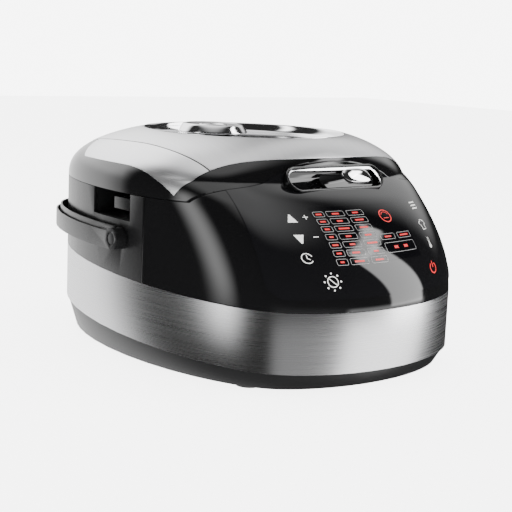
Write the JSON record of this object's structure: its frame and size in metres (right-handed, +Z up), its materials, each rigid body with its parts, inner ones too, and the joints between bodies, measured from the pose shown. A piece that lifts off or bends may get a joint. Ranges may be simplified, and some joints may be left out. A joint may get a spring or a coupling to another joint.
{
  "type": "countertop multicooker",
  "caption": "Electric countertop multicooker with hinged lid, steam valve, touch control front, release button, removable pot and folding carry handle.",
  "frame": {"origin": "on the surface the feet stand on, at the middle of the width and of the depth with the handle folded back", "axes": "+Z up, +Y towards the hinge at the back, the control front faces -Y, and +X is on the right of someone who looks at the front"},
  "size_m": [0.312, 0.38, 0.1966],
  "materials": {
    "black_satin": "satin black plastic",
    "black_gloss": "high-gloss black plastic",
    "grey_plastic": "dark grey fine-textured plastic",
    "brushed": "brushed stainless steel",
    "silver_trim": "satin silver trim",
    "polished": "polished metal",
    "steel": "plain metal parts",
    "spring_steel": "spring and pin steel",
    "nonstick": "dark non-stick coating",
    "rubber": "matt rubber",
    "silicone": "translucent silicone",
    "overlay": "printed glossy overlay",
    "board": "circuit board laminate",
    "component": "electronic component housings",
    "ceramic": "fuse body"
  },
  "bodies": {
    "cooker_body": {"base_pan": "black_satin", "rubber_feet": "rubber", "base_screws": "spring_steel", "steel_band": "brushed", "rear_housing": "grey_plastic", "front_housing": "black_gloss", "top_deck": "black_satin", "control_overlay": "overlay", "display_module": "component", "touch_board": "board", "button_bezel": "polished", "button_scoop": "black_satin", "button_spring": "spring_steel", "latch_pin": "spring_steel", "inner_chamber": "steel", "chamber_legs": "steel", "heating_plate": "steel", "heating_element": "steel", "sensor_spring": "spring_steel", "sensor_housing": "steel", "side_heater": "steel", "thermal_fuse": "ceramic", "power_board": "board", "board_components": "component", "power_inlet": "black_satin", "handle_pivots": "grey_plastic", "inner_pot": "nonstick", "pot_grips": "grey_plastic", "hinge_pin": "spring_steel", "hinge_springs": "spring_steel"},
    "lid": {"lid_frame": "black_gloss", "lid_strip": "brushed", "side_insert_left": "silver_trim", "side_insert_right": "silver_trim", "lid_dish": "polished", "lid_underside": "black_satin", "hinge_arm": "grey_plastic", "latch_striker": "spring_steel", "inner_lid": "steel", "lid_gasket": "silicone", "inner_lid_retainer": "rubber", "steam_duct": "black_satin", "hinge_screws": "spring_steel"},
    "steam_valve": {"steam_valve_cap": "polished"},
    "button": {"release_button": "polished"},
    "latch": {"latch_hook": "spring_steel"},
    "sensor": {"sensor_cup": "steel"},
    "handle": {"carry_handle": "grey_plastic"}
  },
  "joints": [
    {"name": "lid_hinge", "type": "hinge", "parent": "cooker_body", "child": "lid", "pos_m": [0, 0.17325, 0.147], "axis": [-1, 0, 0], "range_deg": [0, 80]},
    {"name": "handle_swing", "type": "hinge", "parent": "cooker_body", "child": "handle", "pos_m": [0, -0.00925, 0.1065], "axis": [1, 0, 0], "range_deg": [0, 100]},
    {"name": "valve_lift", "type": "slide", "parent": "lid", "child": "steam_valve", "axis": [0, 0, 1], "range_m": [0, 0.03]},
    {"name": "button_press", "type": "slide", "parent": "cooker_body", "child": "button", "axis": [0, 0.7955, -0.606], "range_m": [0, 0.0025], "stiffness_N_per_m": 400, "deforming": ["button_spring"]},
    {"name": "latch_turn", "type": "hinge", "parent": "cooker_body", "child": "latch", "pos_m": [0, -0.11225, 0.144], "axis": [1, 0, 0], "range_deg": [-8, 0]},
    {"name": "sensor_press", "type": "slide", "parent": "cooker_body", "child": "sensor", "axis": [0, 0, -1], "range_m": [0, 0.0015], "stiffness_N_per_m": 600, "deforming": ["sensor_spring"]}
  ],
  "couplings": [
    {"joint": "latch_turn", "follows": "button_press", "rad_per_m": -45}
  ]
}
